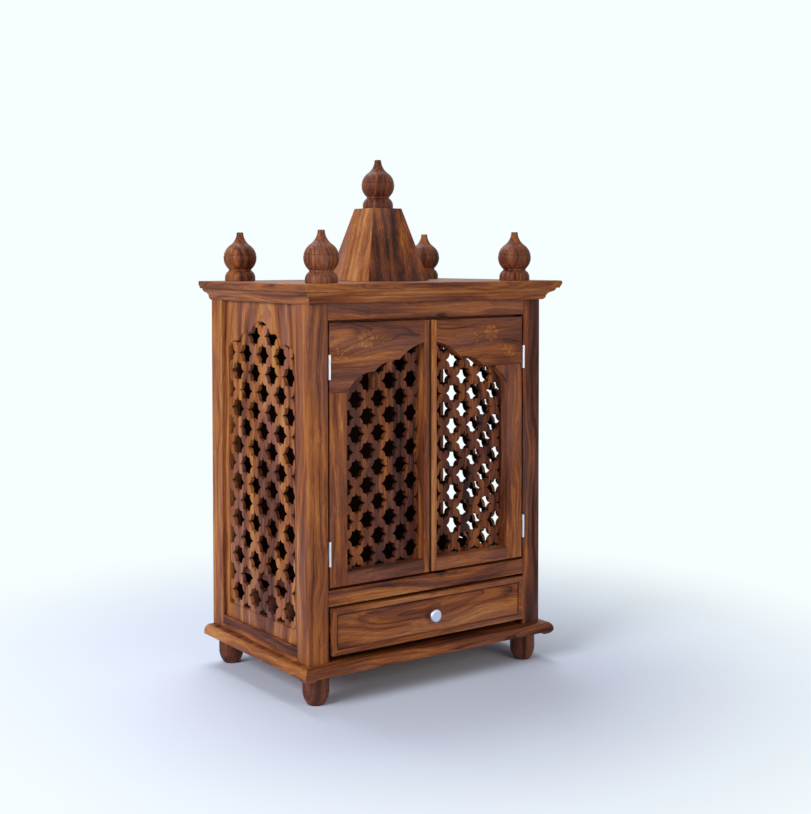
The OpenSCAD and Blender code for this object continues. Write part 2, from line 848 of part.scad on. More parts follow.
module drawer_border() {
    b = drawer_border_w;
    color(LATTICE)
        along_y(drawer_face_y - drawer_border_t, drawer_face_y)
            difference() {
                translate([-drawer_half, drawer_z])
                    square([2 * drawer_half, drawer_front_h]);
                translate([b - drawer_half, drawer_z + b])
                    square([2 * (drawer_half - b), drawer_front_h - 2 * b]);
            }
}

// Sides and back of the drawer in one
module drawer_box() {
    y1 = drawer_back_y + drawer_side_l;
    t = drawer_side_t;
    color(BODY)
        difference() {
            block([-drawer_half, drawer_back_y, box_z], [drawer_half, y1, box_z + drawer_side_h]);
            block([t - drawer_half, drawer_back_y - eps, box_z - eps],
                [drawer_half - t, y1 - t, box_z + drawer_side_h + eps]);
        }
}

module drawer_bottom() {
    x1 = drawer_half - drawer_side_t;
    y1 = drawer_back_y + drawer_side_l - drawer_side_t;
    color(BODY)
        block([-x1, drawer_back_y, box_z], [x1, y1, bottom_z]);
}

module drawer_knob() {
    disc_r = 3;
    flare_z = knob_l - 2 * disc_r;
    color(GLAZE)
        translate([0, drawer_face_y, drawer_z + drawer_front_h / 2])
            rotate([90, 0, 0])
                rotate_extrude() {
                    square([knob_stem_d / 2, knob_l - disc_r]);
                    translate([0, flare_z])
                        square([knob_d / 2 - disc_r, 2 * disc_r]);
                    translate([knob_d / 2 - disc_r, flare_z + disc_r])
                        circle(disc_r);
                }
}

base_board();
placed_foot(-1, 0);  // foot_front_left
placed_foot(1, 0);  // foot_front_right
placed_foot(-1, 1);  // foot_back_left
placed_foot(1, 1);  // foot_back_right
post(-1, 0);  // post_front_left
post(1, 0);  // post_front_right
post(-1, 1);  // post_back_left
post(1, 1);  // post_back_right
front_top_rail();
front_middle_rail();
side_bottom_rail(-1);  // left_bottom_rail
side_bottom_rail(1);  // right_bottom_rail
side_jali_panel(-1);  // left_jali_panel
side_jali_panel(1);  // right_jali_panel
back_panel();
chamber_floor();
drawer_runners();
top_board();
cornice_front();
cornice_side(-1);  // cornice_left
cornice_side(1);  // cornice_right
tower();
tower_cap();
centre_finial();
corner_finial(-1, 0);  // finial_front_left
corner_finial(1, 0);  // finial_front_right
corner_finial(-1, 1);  // finial_back_left
corner_finial(1, 1);  // finial_back_right
hinge_stile(-1);  // left_door_hinge_stile
meeting_stile(-1);  // left_door_meeting_stile
door_top_rail(-1);  // left_door_top_rail
door_bottom_rail(-1);  // left_door_bottom_rail
door_jali(-1);  // left_door_jali
hinge_stile(1);  // right_door_hinge_stile
meeting_stile(1);  // right_door_meeting_stile
door_top_rail(1);  // right_door_top_rail
door_bottom_rail(1);  // right_door_bottom_rail
door_jali(1);  // right_door_jali
cabinet_hinge_leaves();
door_hinge_leaves(-1);  // left_door_hinge_leaves
door_hinge_leaves(1);  // right_door_hinge_leaves
drawer_front();
drawer_border();
drawer_box();
drawer_bottom();
drawer_knob();
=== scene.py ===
"""Home temple cabinet in waxed sheesham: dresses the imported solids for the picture.

All sizes are in metres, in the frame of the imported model: +Z up, -Y the front, the floor at z = 0.
"""
import logging
import math
from collections.abc import Callable
from dataclasses import dataclass, field
from enum import Enum

import bpy
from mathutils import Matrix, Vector


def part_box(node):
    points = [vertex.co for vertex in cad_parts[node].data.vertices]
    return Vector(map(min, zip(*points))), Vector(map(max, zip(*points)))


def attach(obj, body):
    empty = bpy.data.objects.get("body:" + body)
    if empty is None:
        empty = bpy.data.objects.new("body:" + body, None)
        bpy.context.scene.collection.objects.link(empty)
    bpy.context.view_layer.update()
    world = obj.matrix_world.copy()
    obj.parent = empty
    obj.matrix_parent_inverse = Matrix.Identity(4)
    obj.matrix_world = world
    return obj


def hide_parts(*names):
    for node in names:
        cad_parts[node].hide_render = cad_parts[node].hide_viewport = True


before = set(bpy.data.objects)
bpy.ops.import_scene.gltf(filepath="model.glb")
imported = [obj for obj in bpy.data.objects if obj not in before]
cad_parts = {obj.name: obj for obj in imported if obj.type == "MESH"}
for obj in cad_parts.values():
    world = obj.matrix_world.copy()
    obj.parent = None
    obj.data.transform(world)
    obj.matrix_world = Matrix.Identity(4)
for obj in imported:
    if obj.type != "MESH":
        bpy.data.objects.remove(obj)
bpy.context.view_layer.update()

log = logging.getLogger("temple_cabinet")

MM = 0.001
Point = tuple[float, float, float]

# Middles of the two carved flowers on the doors, across and up
LEFT_FLOWER = (-147.0 * MM, 657.5 * MM)
RIGHT_FLOWER = (147.0 * MM, 660.5 * MM)
# Their leaves in millimetres: across, up, angle in degrees, and 1 for a leaf or 2 for a stalk
LEFT_LEAVES = ((-118.0, 656.0, 4.0, 2.0), (-108.0, 662.0, 48.0, 1.0), (-98.0, 656.0, 8.0, 1.0),
               (-107.0, 650.0, -46.0, 1.0), (-122.0, 662.5, 55.0, 1.0), (-176.0, 646.0, 35.0, 1.0),
               (-188.0, 640.0, 20.0, 1.0), (-200.0, 632.0, 60.0, 1.0), (-193.0, 627.0, -20.0, 1.0),
               (-208.0, 640.0, 110.0, 1.0), (-212.0, 626.0, 165.0, 1.0))
RIGHT_LEAVES = ((120.0, 655.0, 12.0, 2.0), (104.0, 651.0, 25.0, 1.0), (110.0, 659.0, -35.0, 1.0),
                (112.0, 645.0, 60.0, 1.0), (172.0, 645.0, -40.0, 1.0), (183.0, 634.0, -55.0, 1.0),
                (193.0, 620.5, 90.0, 1.0), (200.0, 616.0, 25.0, 1.0), (186.0, 616.0, 155.0, 1.0))


class Grain(Enum):
    """The direction in which a board's grain runs."""

    X = (0.0, -math.pi / 2, 0.0)
    Y = (math.pi / 2, 0.0, 0.0)
    Z = (0.0, 0.0, 0.0)


class Body(Enum):
    """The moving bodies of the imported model."""

    CABINET = "cabinet"
    LEFT_DOOR = "left_door"
    RIGHT_DOOR = "right_door"
    DRAWER = "drawer"


def linear(code: str) -> tuple[float, float, float, float]:
    """Turns an sRGB hex value into a linear colour.

    Args:
        code: six hex digits, with or without a leading mark.

    Returns:
        Red, green, blue and alpha, linear.
    """
    digits = code.lstrip("#")
    channels = [int(digits[i:i + 2], 16) / 255 for i in (0, 2, 4)]
    made = [c / 12.92 if c <= 0.04045 else ((c + 0.055) / 1.055) ** 2.4 for c in channels]
    return (made[0], made[1], made[2], 1.0)


def add_node(tree: bpy.types.NodeTree, kind: str, links: dict | None = None, inputs: dict | None = None,
             **settings: object) -> bpy.types.Node:
    """Adds a shader node with its settings, its constants and its incoming links.

    Args:
        tree: the tree it goes into.
        kind: the node's type name.
        links: input name or number to the output socket that feeds it.
        inputs: input name or number to a constant.
        **settings: properties of the node.

    Returns:
        The new node.
    """
    made = tree.nodes.new(kind)
    for key, value in settings.items():
        setattr(made, key, value)
    for key, value in (inputs or {}).items():
        made.inputs[key].default_value = value
    for key, socket in (links or {}).items():
        tree.links.new(socket, made.inputs[key])
    return made


def set_ramp(ramp: bpy.types.ColorRamp, stops: list[tuple[float, str]]) -> None:
    """Fills a colour ramp.

    Args:
        ramp: the ramp.
        stops: positions and hex colours, from low to high.
    """
    while len(ramp.elements) > 1:
        ramp.elements.remove(ramp.elements[-1])
    ramp.elements[0].position = stops[0][0]
    ramp.elements[0].color = linear(stops[0][1])
    for position, code in stops[1:]:
        ramp.elements.new(position).color = linear(code)


@dataclass(frozen=True)
class Sheesham:
    """Sheesham, an Indian rosewood: sawn, sanded and waxed to a satin face.

    Its heartwood runs from honey to purple brown in broad soft bands with finer streaks in them. The growth rings
    are cones round a pith beside the board, so that a flat-sawn face shows nested arches and an edge shows plain
    stripes. Knots, where a board has them, darken the wood and push its streaks aside.
    """

    name: str
    grain: Grain
    centre: Point
    seed: float
    dark: str = "#230f09"
    plum: str = "#482318"
    brown: str = "#763f22"
    honey: str = "#9d5d2a"
    tan: str = "#bd8449"
    lilac: str = "#8c6055"
    ring_mm: float = 16.0
    line_mm: float = 7.0
    lines: float = 0.3
    wave: float = 0.042
    pith: tuple[float, float] = (0.045, 0.05)
    lean: float = 0.05
    shade: float = 0.5
    figure: float = 0.55
    streak: float = 0.42
    band: float = 0.75
    tint: float = 0.3
    gloss: float = 0.16
    knots: tuple[Point, ...] = ()

    def place(self, tree: bpy.types.NodeTree) -> bpy.types.NodeSocket:
        """Puts the board's own coordinates round its centre, with the grain along z.

        Args:
            tree: the material's tree.

        Returns:
            The place of each point, in metres from the pith.
        """
        x, y, z = self.centre
        # the board's centre, turned as the Mapping node turns it, comes off so that the pith lies beside it
        turned_to = {Grain.X: (-z, y, x), Grain.Y: (x, -z, y), Grain.Z: (x, y, z)}[self.grain]
        offset = (self.pith[0] - turned_to[0], self.pith[1] - turned_to[1], 0.1 - turned_to[2])
        coord = add_node(tree, "ShaderNodeTexCoord")
        made = add_node(tree, "ShaderNodeMapping", {"Vector": coord.outputs["Object"]},
                        {"Location": offset, "Rotation": self.grain.value})
        return made.outputs[0]

    def stretched(self, tree: bpy.types.NodeTree, place: bpy.types.NodeSocket, scale: float, along: float,
                  detail: float) -> bpy.types.NodeSocket:
        """Noise drawn out along the grain.

        Args:
            tree: the material's tree.
            place: the board's coordinates.
            scale: noise cells per metre across the grain.
            along: the same along the grain, as a share of that.
            detail: octaves of finer noise.

        Returns:
            The noise, 0 to 1.
        """
        # each board is cut from its own place in the log, so its noise is read somewhere else
        away = (self.seed * 1.3, self.seed * 2.1, self.seed * 0.7)
        drawn = add_node(tree, "ShaderNodeMapping", {"Vector": place}, {"Scale": (1.0, 1.0, along), "Location": away})
        made = add_node(tree, "ShaderNodeTexNoise", {"Vector": drawn.outputs[0]},
                        {"Scale": scale, "Detail": detail, "Roughness": 0.5})
        return made.outputs[0]

    def knot(self, tree: bpy.types.NodeTree) -> bpy.types.NodeSocket | None:
        """How deep each point lies in a knot.

        Args:
            tree: the material's tree.

        Returns:
            1 in a knot's middle and 0 outside it, or nothing for clear wood.
        """
        coord = add_node(tree, "ShaderNodeTexCoord")
        deepest = None
        for at in self.knots:
            away = add_node(tree, "ShaderNodeVectorMath", {0: coord.outputs["Object"]}, {1: at},
                            operation="SUBTRACT")
            # a knot's swirl reaches 20 mm along a rail and 9 mm across it
            cell = add_node(tree, "ShaderNodeVectorMath", {0: away.outputs[0]}, {1: (50.0, 20.0, 110.0)},
                            operation="MULTIPLY")
            length = add_node(tree, "ShaderNodeVectorMath", {0: cell.outputs[0]}, operation="LENGTH")
            depth = add_node(tree, "ShaderNodeMapRange", {"Value": length.outputs["Value"]},
                             {"From Min": 1.0, "From Max": 0.0}, interpolation_type="SMOOTHSTEP")
            if deepest is None:
                deepest = depth.outputs[0]
            else:
                deepest = add_node(tree, "ShaderNodeMath", {0: deepest, 1: depth.outputs[0]},
                                   operation="MAXIMUM").outputs[0]
        return deepest

    def build(self) -> bpy.types.Material:
        """Makes the material.

        Returns:
            The material, on Object coordinates.
        """
        made = bpy.data.materials.new(f"sheesham_waxed_{self.name}")
        made.use_nodes = True
        tree = made.node_tree
        tree.nodes.clear()
        place = self.place(tree)
        depth = self.knot(tree)
        if depth is not None:
            pushed = add_node(tree, "ShaderNodeVectorMath", {0: depth, 2: place}, {1: (0.012, 0.0, 0.0)},
                              operation="MULTIPLY_ADD")
            place = pushed.outputs[0]
        # slow wander of the fibres: about 60 mm across and 200 mm along the grain
        slow = add_node(tree, "ShaderNodeMapping", {"Vector": place},
                        {"Scale": (1.0, 1.0, 0.33), "Location": (self.seed, self.seed * 1.7, self.seed * 0.3)})
        wander = add_node(tree, "ShaderNodeTexNoise", {"Vector": slow.outputs[0]},
                          {"Scale": 15.0, "Detail": 2.0, "Roughness": 0.45})
        centred = add_node(tree, "ShaderNodeVectorMath", {0: wander.outputs["Color"]}, {1: (0.5, 0.5, 0.5)},
                           operation="SUBTRACT")
        bent = add_node(tree, "ShaderNodeVectorMath", {0: centred.outputs[0], 2: place},
                        {1: (self.wave, self.wave, 0.0)},
                        operation="MULTIPLY_ADD").outputs[0]
        cone = add_node(tree, "ShaderNodeVectorMath", {0: bent}, {1: (1.0, 1.0, self.lean)}, operation="MULTIPLY")
        radius = add_node(tree, "ShaderNodeVectorMath", {0: cone.outputs[0]}, operation="LENGTH")
        count = add_node(tree, "ShaderNodeMath", {0: radius.outputs["Value"]},
                         {1: 1000.0 / self.ring_mm, 2: self.seed * 3.1}, operation="MULTIPLY_ADD")
        rings = add_node(tree, "ShaderNodeTexNoise", {"W": count.outputs[0]},
                         {"Scale": 1.0, "Detail": 2.0, "Roughness": 0.55}, noise_dimensions="1D")
        # late wood closes each ring with a dark line: slow to rise, sharp to end, and faint in places
        step = add_node(tree, "ShaderNodeMath", {0: count.outputs[0]}, {1: self.ring_mm / self.line_mm},
                        operation="MULTIPLY")
        uneven = add_node(tree, "ShaderNodeMath", {0: rings.outputs[0], 2: step.outputs[0]}, {1: 3.0},
                          operation="MULTIPLY_ADD")
        phase = add_node(tree, "ShaderNodeMath", {0: uneven.outputs[0]}, operation="FRACT")
        late = add_node(tree, "ShaderNodeMath", {0: phase.outputs[0]}, {1: 5.0}, operation="POWER")
        faint = add_node(tree, "ShaderNodeMapRange", {"Value": self.stretched(tree, bent, 45.0, 0.12, 1.0)},
                         {"From Min": 0.35, "From Max": 0.65, "To Max": -self.lines})
        # bands 30 mm wide, streaks 5 mm wide and threads under 2 mm wide, each many times as long
        bands = self.stretched(tree, bent, 34.0, 0.10, 1.0)
        streaks = self.stretched(tree, bent, 190.0, 0.04, 2.0)
        threads = self.stretched(tree, bent, 620.0, 0.02, 1.0)
        level = self.shade - 0.5 * (self.figure + self.streak + self.band + 0.3)
        total = add_node(tree, "ShaderNodeMath", {0: rings.outputs[0]}, {1: self.figure, 2: level},
                         operation="MULTIPLY_ADD")
        for noise, share in ((bands, self.band), (streaks, self.streak), (threads, 0.3)):
            total = add_node(tree, "ShaderNodeMath", {0: noise, 2: total.outputs[0]}, {1: share},
                             operation="MULTIPLY_ADD")
        total = add_node(tree, "ShaderNodeMath", {0: late.outputs[0], 1: faint.outputs[0], 2: total.outputs[0]},
                         operation="MULTIPLY_ADD")
        if depth is not None:
            total = add_node(tree, "ShaderNodeMath", {0: depth, 2: total.outputs[0]}, {1: -0.45},
                             operation="MULTIPLY_ADD")
        ramp = add_node(tree, "ShaderNodeValToRGB", {"Fac": total.outputs[0]})
        set_ramp(ramp.color_ramp, [(0.12, self.dark), (0.3, self.plum), (0.5, self.brown), (0.68, self.honey),
                                   (0.9, self.tan)])
        # a lilac bloom lies over parts of the heartwood
        bloom = add_node(tree, "ShaderNodeMapRange", {"Value": self.stretched(tree, place, 22.0, 0.16, 1.0)},
                         {"From Min": 0.45, "From Max": 0.7, "To Max": self.tint})
        tinted = add_node(tree, "ShaderNodeMix", {0: bloom.outputs[0], 6: ramp.outputs["Color"]},
                          {7: linear(self.lilac)}, data_type="RGBA")
        # pores: dashes under a millimetre wide in real wood, drawn 1 mm wide so that they show
        pores = self.stretched(tree, bent, 1000.0, 0.05, 1.0)
        pore_mask = add_node(tree, "ShaderNodeMapRange", {"Value": pores},
                             {"From Min": 0.36, "From Max": 0.52, "To Min": 0.78, "To Max": 1.0})
        scaled = add_node(tree, "ShaderNodeVectorMath", {0: tinted.outputs[2], "Scale": pore_mask.outputs[0]},
                          operation="SCALE")
        bump = add_node(tree, "ShaderNodeBump", {"Height": pore_mask.outputs[0]},
                        {"Strength": 0.25, "Distance": 0.0004})
        rough = add_node(tree, "ShaderNodeMapRange", {"Value": total.outputs[0]},
                         {"From Min": 0.2, "From Max": 0.9, "To Min": 0.5, "To Max": 0.4})
        surface = add_node(tree, "ShaderNodeBsdfPrincipled",
                           {"Base Color": scaled.outputs[0], "Roughness": rough.outputs[0],
                            "Normal": bump.outputs[0]},
                           {"IOR": 1.48, "Specular IOR Level": self.gloss})
        add_node(tree, "ShaderNodeOutputMaterial", {"Surface": surface.outputs[0]})
        return made


@dataclass(frozen=True)
class PaintedShadeBoard:
    """A flat dark colour with no figure and no gloss: painted shade for the faces inside the cabinet."""

    name: str
    colour: str

    def build(self) -> bpy.types.Material:
        """Makes the material."""
        made = bpy.data.materials.new(self.name)
        made.use_nodes = True
        tree = made.node_tree
        tree.nodes.clear()
        surface = add_node(tree, "ShaderNodeBsdfDiffuse", None, {"Color": linear(self.colour)})
        add_node(tree, "ShaderNodeOutputMaterial", {"Surface": surface.outputs[0]})
        return made


@dataclass(frozen=True)
class SatinMetal:
    """Bare sheet or turned metal with a soft satin face, which mirrors the room only as a blur."""

    name: str
    colour: str
    roughness: float
    metallic: float = 1.0

    def build(self) -> bpy.types.Material:
        """Makes the material.

        Returns:
            The material.
        """
        made = bpy.data.materials.new(self.name)
        made.use_nodes = True
        tree = made.node_tree
        tree.nodes.clear()
        surface = add_node(tree, "ShaderNodeBsdfPrincipled", None,
                           {"Base Color": linear(self.colour), "Metallic": self.metallic,
                            "Roughness": self.roughness})
        add_node(tree, "ShaderNodeOutputMaterial", {"Surface": surface.outputs[0]})
        return made


def deselect() -> None:
    """Leaves edit mode and deselects everything."""
    if bpy.context.object and bpy.context.object.mode != "OBJECT":
        bpy.ops.object.mode_set(mode="OBJECT")
    bpy.ops.object.select_all(action="DESELECT")


def activate(piece: bpy.types.Object) -> None:
    """Makes one object the only one that is selected, and the active one."""
    deselect()
    piece.select_set(True)
    bpy.context.view_layer.objects.active = piece


def apply_all(piece: bpy.types.Object) -> None:
    """Applies an object's modifiers in order."""
    activate(piece)
    for modifier in list(piece.modifiers):
        bpy.ops.object.modifier_apply(modifier=modifier.name)


def ease_edges(piece: bpy.types.Object, width: float, segments: int = 2, angle: float = 30.0) -> None:
    """Rounds the sharp edges of a piece, as sanding does, and shades it smooth.

    Args:
        piece: the piece.
        width: how far the rounding reaches from the edge.
        segments: facets across the rounding.
        angle: edges that turn by less than this many degrees stay.
    """
    if width > 0:
        bevel = piece.modifiers.new("eased", "BEVEL")
        bevel.width = width
        bevel.segments = segments
        bevel.limit_method = "ANGLE"
        bevel.angle_limit = math.radians(angle)
        bevel.use_clamp_overlap = True
        bevel.harden_normals = False
    apply_all(piece)
    activate(piece)
    bpy.ops.object.shade_smooth_by_angle(angle=math.radians(angle))
    weighted = piece.modifiers.new("weighted", "WEIGHTED_NORMAL")
    weighted.keep_sharp = True
    weighted.weight = 100
    apply_all(piece)


def rest_origin(piece: bpy.types.Object) -> None:
    """Puts a piece's place into its mesh, so that its object sits at the origin."""
    activate(piece)
    bpy.ops.object.transform_apply(location=True, rotation=True, scale=True)


def board(name: str, low: Point, high: Point, width: float = 1.2 * MM) -> bpy.types.Object:
    """A sawn board between two corners, with eased edges.

    Args:
        name: the object's name.
        low: its lowest corner.
        high: its highest corner.
        width: the easing of its edges.

    Returns:
        The board.
    """
    deselect()
    centre = [(a + b) / 2 for a, b in zip(low, high)]
    bpy.ops.mesh.primitive_cube_add(size=1.0, location=centre)
    piece = bpy.context.object
    piece.name = name
    piece.scale = [b - a for a, b in zip(low, high)]
    rest_origin(piece)
    ease_edges(piece, width)
    return piece


def merged_copy(name: str, node: str, width: float, segments: int = 2, angle: float = 30.0,
                pierced: bool = False,
                opened: Callable[[bpy.types.MeshPolygon], bool] | None = None) -> bpy.types.Object:
    """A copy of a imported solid, merged and with its edges eased.

    Args:
        name: the new object's name.
        node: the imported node.
        width: the easing of its edges.
        segments: facets across the easing.
        angle: edges that turn by less than this many degrees stay.
        pierced: keeps the triangles of a lattice, whose flat faces would make bad faces if they were joined.
        opened: tells which faces are taken out before the edges are eased.

    Returns:
        The copy.
    """
    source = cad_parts[node]
    piece = bpy.data.objects.new(name, source.data.copy())
    bpy.context.scene.collection.objects.link(piece)
    piece.data.materials.clear()
    activate(piece)
    bpy.ops.object.mode_set(mode="EDIT")
    bpy.ops.mesh.select_all(action="SELECT")
    bpy.ops.mesh.remove_doubles(threshold=0.00001)
    if not pierced:
        bpy.ops.mesh.dissolve_limited(angle_limit=math.radians(0.6))
    bpy.ops.object.mode_set(mode="OBJECT")
    if opened is not None:
        for face in piece.data.polygons:
            face.select = opened(face)
        bpy.ops.object.mode_set(mode="EDIT")
        bpy.ops.mesh.delete(type="FACE")
        bpy.ops.object.mode_set(mode="OBJECT")
    ease_edges(piece, width, segments, angle)
    return piece


def turned(name: str, profile: list[tuple[float, float]], centre: Point, sides: int = 72) -> bpy.types.Object:
    """A turned piece: a circle extruded ring by ring up the profile.

    Args:
        name: the object's name.
        profile: heights above the centre point and radii, from the bottom to the top.
        centre: the middle of its underside.
        sides: corners of each ring.

    Returns:
        The piece.
    """
    deselect()
    height, radius = profile[0]
    bpy.ops.mesh.primitive_circle_add(vertices=sides, radius=radius, fill_type="NGON",
                                      location=(centre[0], centre[1], centre[2] + height))
    piece = bpy.context.object
    piece.name = name
    bpy.ops.object.mode_set(mode="EDIT")
    bpy.ops.mesh.select_all(action="SELECT")
    for next_height, next_radius in profile[1:]:
        bpy.ops.mesh.extrude_region_move(
            TRANSFORM_OT_translate={"value": (0.0, 0.0, next_height - height)})
        bpy.ops.transform.resize(value=(next_radius / radius, next_radius / radius, 1.0),
                                 center_override=(centre[0], centre[1], centre[2] + next_height))
        height, radius = next_height, next_radius
    bpy.ops.mesh.select_all(action="SELECT")
    bpy.ops.mesh.normals_make_consistent(inside=False)
    bpy.ops.object.mode_set(mode="OBJECT")
    rest_origin(piece)
    ease_edges(piece, 0.0, angle=38.0)
    return piece


def twin(piece: bpy.types.Object, name: str, move: Point) -> bpy.types.Object:
    """A copy of a piece with its own mesh, moved.

    Args:
        piece: the piece.
        name: the copy's name.
        move: how far it goes.

    Returns:
        The copy.
    """
    made = bpy.data.objects.new(name, piece.data.copy())
    bpy.context.scene.collection.objects.link(made)
    made.location = move
    made.data.materials.clear()
    rest_origin(made)
    return made


def facing(axis: Point) -> Callable[[bpy.types.MeshPolygon], bool]:
    """A test for faces that look along an axis.

    Args:
        axis: the direction.

    Returns:
        The test.
    """
    return lambda face: face.normal.dot(Vector(axis)) > 0.6


def middle(node: str) -> Point:
    """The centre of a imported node's box."""
    low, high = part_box(node)
    return tuple((a + b) / 2 for a, b in zip(low, high))


def finish(piece: bpy.types.Object, body: Body, nodes: list[str], material: bpy.types.Material,
           other: bpy.types.Material | None = None,
           picks: Callable[[bpy.types.MeshPolygon], bool] = lambda face: False) -> None:
    """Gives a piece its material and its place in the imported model.

    Args:
        piece: the piece.
        body: the body that it rides on.
        nodes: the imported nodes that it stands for, which may be none.
        material: its material.
        other: a second material, for some of the faces.
        picks: tells whether a face takes it.
    """
    piece.data.materials.clear()
    piece.data.materials.append(material)
    if other is not None:
        piece.data.materials.append(other)
        for polygon in piece.data.polygons:
            polygon.material_index = int(picks(polygon))
    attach(piece, body.value)
    if nodes:
        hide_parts(*nodes)
    log.info("%s: %d faces, rides on %s", piece.name, len(piece.data.polygons), body.value)


def arc(centre: tuple[float, float], radius: float, start: float, end: float, steps: int) -> list[tuple[float, float]]:
    """Points (height, radius) on an arc of a turned profile.

    Args:
        centre: (height, radius) of the arc's centre.
        radius: its radius.
        start: first angle in degrees, from the outward direction upwards.
        end: last angle.
        steps: number of steps.

    Returns:
        The points.
    """
    made = []
    for i in range(steps + 1):
        angle = math.radians(start + (end - start) * i / steps)
        made.append((centre[0] + radius * math.sin(angle), centre[1] + radius * math.cos(angle)))
    return made


@dataclass
class Carcass:
    """The four posts, the rails, the pierced sides, the back, the floor and the drawer's runners."""

    ease: float = 1.6 * MM
    knot_rise: tuple[float, float] = (-17.0 * MM, 8.0 * MM)
    # faces inside the shrine take a flat near-black colour, painted shade where little light reaches
    inside: "PaintedShadeBoard" = field(default_factory=lambda: PaintedShadeBoard("sheesham_painted_shade_inside", "#20130e"))

    def build(self) -> None:
        """Makes the carcass."""
        for i, (node, tone) in enumerate((("post_front_left", 0.6), ("post_front_right", 0.36),
                                          ("post_back_left", 0.66), ("post_back_right", 0.45))):
            low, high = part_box(node)
            piece = board(f"wood_{node}", low, high, self.ease)
            wood = Sheesham(node, Grain.Z, middle(node), 2.3 + i * 1.7, shade=tone, pith=(0.06, 0.035), lean=0.03)
            finish(piece, Body.CABINET, [node], wood.build())
        for i, (node, grain, tone) in enumerate((
                ("front_top_rail", Grain.X, 0.5), ("front_middle_rail", Grain.X, 0.62),
                ("left_bottom_rail", Grain.Y, 0.58), ("right_bottom_rail", Grain.Y, 0.5))):
            piece = merged_copy(f"wood_{node}", node, self.ease * 0.6)
            x, y, z = middle(node)
            knots = ((0.026, -0.164, z + self.knot_rise[i]),) if i < 2 else ()
            wood = Sheesham(node, grain, (x, y, z), 5.1 + i * 2.3, shade=tone, pith=(0.03, 0.055), lean=0.07,
                            knots=knots)
            finish(piece, Body.CABINET, [node], wood.build())
        low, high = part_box("back_panel")
        piece = board("wood_back_panel", low, high, self.ease * 0.6)
        wood = Sheesham("back_panel", Grain.Z, middle("back_panel"), 14.3, shade=0.45)
        # the inside of the shrine is given a flat dark colour, painted shade for its dim inside
        finish(piece, Body.CABINET, ["back_panel"], wood.build(), self.inside.build(),
               facing((0.0, -1.0, 0.0)))
        for i, node in enumerate(("left_jali_panel", "right_jali_panel")):
            piece = merged_copy(f"wood_{node}", node, 0.9 * MM, pierced=True)
            wood = Sheesham(node, Grain.Z, middle(node), 9.4 + i * 3.1, shade=0.6, ring_mm=18.0, figure=0.8,
                            pith=(0.075 if i else -0.075, 0.02), lean=0.16, tint=0.55)
            # the inner faces of the side lattices take the flat dark colour, painted shade inside the cabinet
            finish(piece, Body.CABINET, [node], wood.build(), self.inside.build(),
                   facing((-1.0 if i else 1.0, 0.0, 0.0)))
        # the chamber floor and runners are darkened to tone 0.25 and their upper faces take the flat dark colour:
        # painted shade for the dim inside
        for i, node in enumerate(("chamber_floor", "drawer_runners")):
            piece = merged_copy(f"wood_{node}", node, 0.6 * MM)
            wood = Sheesham(node, Grain.X if i == 0 else Grain.Y, middle(node), 12.5 + i, shade=0.25)
            finish(piece, Body.CABINET, [node], wood.build(), self.inside.build(),
                   facing((0.0, 0.0, 1.0)))


@dataclass
class Base:
    """The base board and its four turned feet."""

    height: float = 57.5 * MM
    radius: float = 24.5 * MM
    sole: float = 14.25 * MM
    shoulder: float = 4.0 * MM
    groove_height: float = 27.0 * MM
    groove: float = 1.2 * MM

    def profile(self) -> list[tuple[float, float]]:
        """Heights and radii of a foot.

        Returns:
            The points, from the floor up.
        """
        inward = self.radius - self.sole
        bowl = (inward ** 2 + self.groove_height ** 2) / (2 * inward)
        low = math.degrees(math.asin(self.groove_height / bowl))
        points = [(0.0, 0.001), (0.0, self.sole - 0.8 * MM)]
        points += arc((self.groove_height, self.radius - bowl), bowl, -low + 1.5, -2.2, 12)
        points += [(self.groove_height - self.groove * 0.5, self.radius - self.groove * 0.85),
                   (self.groove_height + self.groove * 0.5, self.radius - self.groove * 0.85),
                   (self.groove_height + self.groove * 1.1, self.radius)]
        points += arc((self.height - self.shoulder, self.radius - self.shoulder), self.shoulder, 0, 88, 6)
        points += [(self.height, 0.001)]
        return points

    def build(self) -> None:
        """Makes the base board and the feet."""
        piece = merged_copy("wood_base_board", "base_board", 0.5 * MM, angle=40.0)
        wood = Sheesham("base_board", Grain.X, middle("base_board"), 21.0, shade=0.5, tint=0.1)
        side = Sheesham("base_side", Grain.Y, middle("base_board"), 23.0, shade=0.66, tint=0.1)
        finish(piece, Body.CABINET, ["base_board"], wood.build(), side.build(),
               lambda face: abs(face.normal.x) > 0.3)
        first = None
        for i, node in enumerate(("foot_front_left", "foot_front_right", "foot_back_left", "foot_back_right")):
            x, y, _ = middle(node)
            if first is None:
                made = turned(f"wood_{node}", self.profile(), (x, y, 0.0))
                first = (made, x, y)
            else:
                made = twin(first[0], f"wood_{node}", (x - first[1], y - first[2], 0.0))
            wood = Sheesham(node, Grain.Z, (x, y, 0.03), 22.0 + i * 1.3, shade=0.36, pith=(0.09, 0.02), lean=0.0,
                            band=0.4)
            finish(made, Body.CABINET, [node], wood.build())


@dataclass
class Cornice:
    """The top board and the mitred moulding under it."""

    def build(self) -> None:
        """Makes the cornice."""
        for i, (node, grain, width, tone) in enumerate((
                ("top_board", Grain.X, 0.5 * MM, 0.5), ("cornice_front", Grain.X, 0.35 * MM, 0.58),
                ("cornice_left", Grain.Y, 0.35 * MM, 0.62), ("cornice_right", Grain.Y, 0.35 * MM, 0.56))):
            piece = merged_copy(f"wood_{node}", node, width, angle=34.0)
            wood = Sheesham(node, grain, middle(node), 31.0 + i * 1.9, shade=tone, pith=(0.02, 0.08), lean=0.04,
                            tint=0.1)
            side = Sheesham(f"{node}_side", Grain.Y, middle(node), 36.0, shade=tone, tint=0.1) if i == 0 else None
            finish(piece, Body.CABINET, [node], wood.build(), side and side.build(),
                   lambda face: abs(face.normal.x) > 0.3)


